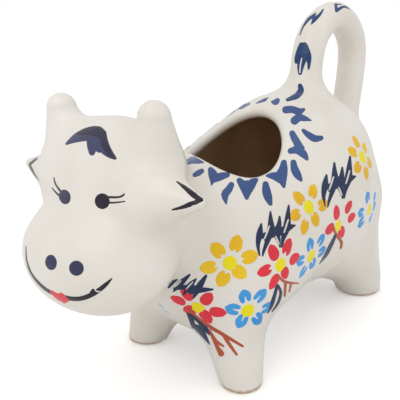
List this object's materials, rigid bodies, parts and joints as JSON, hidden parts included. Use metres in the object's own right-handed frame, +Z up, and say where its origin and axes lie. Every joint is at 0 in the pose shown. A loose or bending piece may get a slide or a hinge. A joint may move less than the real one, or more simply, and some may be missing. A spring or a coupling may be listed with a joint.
{
  "type": "cow creamer",
  "caption": "Small glazed stoneware milk jug shaped as a standing cow: filled through an opening in the back, held by the looped tail, poured from under the muzzle.",
  "frame": {"origin": "on the floor under the middle of the creamer's overall length and width", "axes": "+Z up, -X toward the cow's muzzle, +X toward its tail, -Y toward its left flank"},
  "size_m": [0.1594, 0.0742, 0.1198],
  "materials": {
    "cream_glaze": "gloss",
    "brown_glaze": "gloss",
    "bare_clay": "matte",
    "cobalt_brushwork": "gloss",
    "red_brushwork": "gloss",
    "yellow_brushwork": "gloss",
    "sky_brushwork": "gloss",
    "rust_brushwork": "gloss"
  },
  "bodies": {
    "root": {"trunk_shell": "cream_glaze", "head_shell": "cream_glaze", "front_left_leg": "cream_glaze", "front_right_leg": "cream_glaze", "rear_left_leg": "cream_glaze", "rear_right_leg": "cream_glaze", "left_horn": "cream_glaze", "right_horn": "cream_glaze", "left_ear": "cream_glaze", "right_ear": "cream_glaze", "tail_handle": "cream_glaze"}
  },
  "joints": []
}
